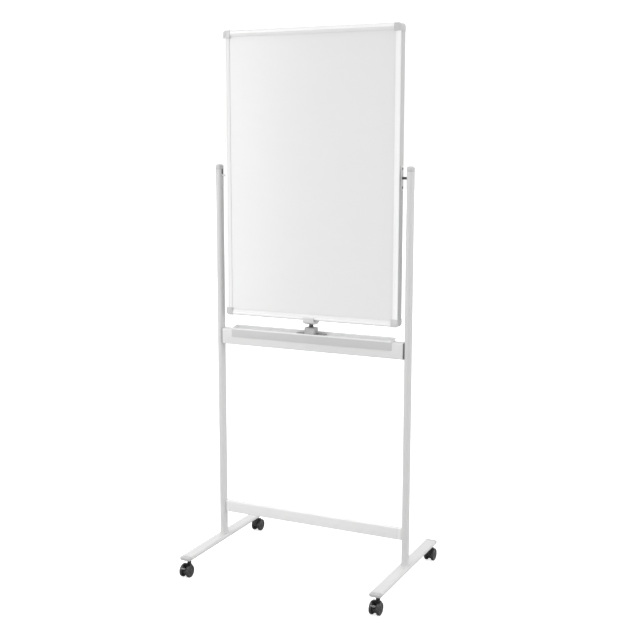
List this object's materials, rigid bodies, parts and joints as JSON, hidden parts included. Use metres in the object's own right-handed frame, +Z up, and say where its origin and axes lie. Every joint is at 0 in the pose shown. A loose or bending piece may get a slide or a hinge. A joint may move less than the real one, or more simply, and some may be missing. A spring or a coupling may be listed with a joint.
{
  "type": "rolling whiteboard",
  "caption": "Double-sided whiteboard in a frame that flips about its mid-height between posts, over a pen tray and sprung catch, on feet with swivel casters.",
  "frame": {"origin": "on the floor, at the centre of the whole object", "axes": "+X to the viewer's right when facing the board, +Y to the back, +Z up; the front writing surface faces -Y"},
  "size_m": [0.698, 0.5195, 1.7256],
  "materials": {
    "board_core": "honeycomb board, hidden",
    "writing_sheet_front": "satin white enamelled sheet",
    "writing_sheet_rear": "satin white enamelled sheet",
    "frame": "satin white aluminium extrusion",
    "corner_cap": "light grey moulded",
    "pivot_plate": "white painted steel with a black stud",
    "pivot_steel": "black steel",
    "stand_paint": "satin white powder coat on steel tube",
    "post_cap": "light grey moulded",
    "foot_cap": "light grey moulded",
    "bar_bracket": "white moulded",
    "bar_end": "dark moulded",
    "tray": "satin white folded sheet",
    "catch_plate": "dark steel",
    "catch_housing": "grey moulded",
    "catch_slider": "grey moulded",
    "caster_steel": "zinc plated",
    "caster_body": "black moulded",
    "wheel": "black nylon",
    "brake_lever": "dark moulded"
  },
  "bodies": {
    "stand": {"left_post": "stand_paint", "right_post": "stand_paint", "left_post_cap": "post_cap", "right_post_cap": "post_cap", "left_foot": "stand_paint", "right_foot": "stand_paint", "left_foot_cap_front": "foot_cap", "left_foot_cap_rear": "foot_cap", "right_foot_cap_front": "foot_cap", "right_foot_cap_rear": "foot_cap", "lower_crossbar": "stand_paint", "upper_crossbar": "stand_paint", "lower_bar_bracket_left": "bar_bracket", "lower_bar_bracket_right": "bar_bracket", "upper_bar_end_left": "bar_end", "upper_bar_end_right": "bar_end", "pen_tray": "tray", "catch_plate": "catch_plate", "catch_housing": "catch_housing", "caster_stem_front_left": "caster_steel", "caster_stem_front_right": "caster_steel", "caster_stem_rear_left": "caster_steel", "caster_stem_rear_right": "caster_steel"},
    "board": {"board_core": "board_core", "writing_sheet_front": "writing_sheet_front", "writing_sheet_rear": "writing_sheet_rear", "frame_rail_left": "frame", "frame_rail_right": "frame", "frame_rail_bottom": "frame", "frame_rail_top": "frame", "corner_cap_bottom_left": "corner_cap", "corner_cap_bottom_right": "corner_cap", "corner_cap_top_left": "corner_cap", "corner_cap_top_right": "corner_cap", "pivot_bracket_left": "pivot_plate", "pivot_bracket_right": "pivot_plate", "pivot_screw_left_low": "pivot_steel", "pivot_screw_left_high": "pivot_steel", "pivot_screw_right_low": "pivot_steel", "pivot_screw_right_high": "pivot_steel"},
    "catch_saddle": {"catch_slider": "catch_slider"},
    "caster_front_left": {"caster_body_front_left": "caster_body", "caster_axle_front_left": "caster_steel"},
    "wheel_front_left_left": {"wheel_front_left_left": "wheel"},
    "wheel_front_left_right": {"wheel_front_left_right": "wheel"},
    "brake_front_left": {"brake_lever_front_left": "brake_lever"},
    "caster_front_right": {"caster_body_front_right": "caster_body", "caster_axle_front_right": "caster_steel"},
    "wheel_front_right_left": {"wheel_front_right_left": "wheel"},
    "wheel_front_right_right": {"wheel_front_right_right": "wheel"},
    "brake_front_right": {"brake_lever_front_right": "brake_lever"},
    "caster_rear_left": {"caster_body_rear_left": "caster_body", "caster_axle_rear_left": "caster_steel"},
    "wheel_rear_left_left": {"wheel_rear_left_left": "wheel"},
    "wheel_rear_left_right": {"wheel_rear_left_right": "wheel"},
    "caster_rear_right": {"caster_body_rear_right": "caster_body", "caster_axle_rear_right": "caster_steel"},
    "wheel_rear_right_left": {"wheel_rear_right_left": "wheel"},
    "wheel_rear_right_right": {"wheel_rear_right_right": "wheel"}
  },
  "joints": [
    {"name": "board_flip", "type": "hinge", "parent": "stand", "child": "board", "pos_m": [0, 0, 1.275], "axis": [1, 0, 0], "continuous": true},
    {"name": "catch_press", "type": "slide", "parent": "stand", "child": "catch_saddle", "axis": [0, 0, -1], "range_m": [0, 0.01], "stiffness_N_per_m": 600, "springref_m": -0.002},
    {"name": "swivel_front_left", "type": "hinge", "parent": "stand", "child": "caster_front_left", "pos_m": [-0.329, -0.22, 0.04], "axis": [0, 0, 1], "continuous": true},
    {"name": "roll_front_left_left", "type": "hinge", "parent": "caster_front_left", "child": "wheel_front_left_left", "pos_m": [-0.329, -0.236, 0.0205], "axis": [1, 0, 0], "continuous": true},
    {"name": "roll_front_left_right", "type": "hinge", "parent": "caster_front_left", "child": "wheel_front_left_right", "pos_m": [-0.329, -0.236, 0.0205], "axis": [1, 0, 0], "continuous": true},
    {"name": "brake_front_left", "type": "hinge", "parent": "caster_front_left", "child": "brake_front_left", "pos_m": [-0.329, -0.244, 0.028], "axis": [1, 0, 0], "range_deg": [0, 14]},
    {"name": "swivel_front_right", "type": "hinge", "parent": "stand", "child": "caster_front_right", "pos_m": [0.329, -0.22, 0.04], "axis": [0, 0, 1], "continuous": true},
    {"name": "roll_front_right_left", "type": "hinge", "parent": "caster_front_right", "child": "wheel_front_right_left", "pos_m": [0.329, -0.236, 0.0205], "axis": [1, 0, 0], "continuous": true},
    {"name": "roll_front_right_right", "type": "hinge", "parent": "caster_front_right", "child": "wheel_front_right_right", "pos_m": [0.329, -0.236, 0.0205], "axis": [1, 0, 0], "continuous": true},
    {"name": "brake_front_right", "type": "hinge", "parent": "caster_front_right", "child": "brake_front_right", "pos_m": [0.329, -0.244, 0.028], "axis": [1, 0, 0], "range_deg": [0, 14]},
    {"name": "swivel_rear_left", "type": "hinge", "parent": "stand", "child": "caster_rear_left", "pos_m": [-0.329, 0.22, 0.04], "axis": [0, 0, 1], "continuous": true},
    {"name": "roll_rear_left_left", "type": "hinge", "parent": "caster_rear_left", "child": "wheel_rear_left_left", "pos_m": [-0.329, 0.236, 0.0205], "axis": [1, 0, 0], "continuous": true},
    {"name": "roll_rear_left_right", "type": "hinge", "parent": "caster_rear_left", "child": "wheel_rear_left_right", "pos_m": [-0.329, 0.236, 0.0205], "axis": [1, 0, 0], "continuous": true},
    {"name": "swivel_rear_right", "type": "hinge", "parent": "stand", "child": "caster_rear_right", "pos_m": [0.329, 0.22, 0.04], "axis": [0, 0, 1], "continuous": true},
    {"name": "roll_rear_right_left", "type": "hinge", "parent": "caster_rear_right", "child": "wheel_rear_right_left", "pos_m": [0.329, 0.236, 0.0205], "axis": [1, 0, 0], "continuous": true},
    {"name": "roll_rear_right_right", "type": "hinge", "parent": "caster_rear_right", "child": "wheel_rear_right_right", "pos_m": [0.329, 0.236, 0.0205], "axis": [1, 0, 0], "continuous": true}
  ]
}
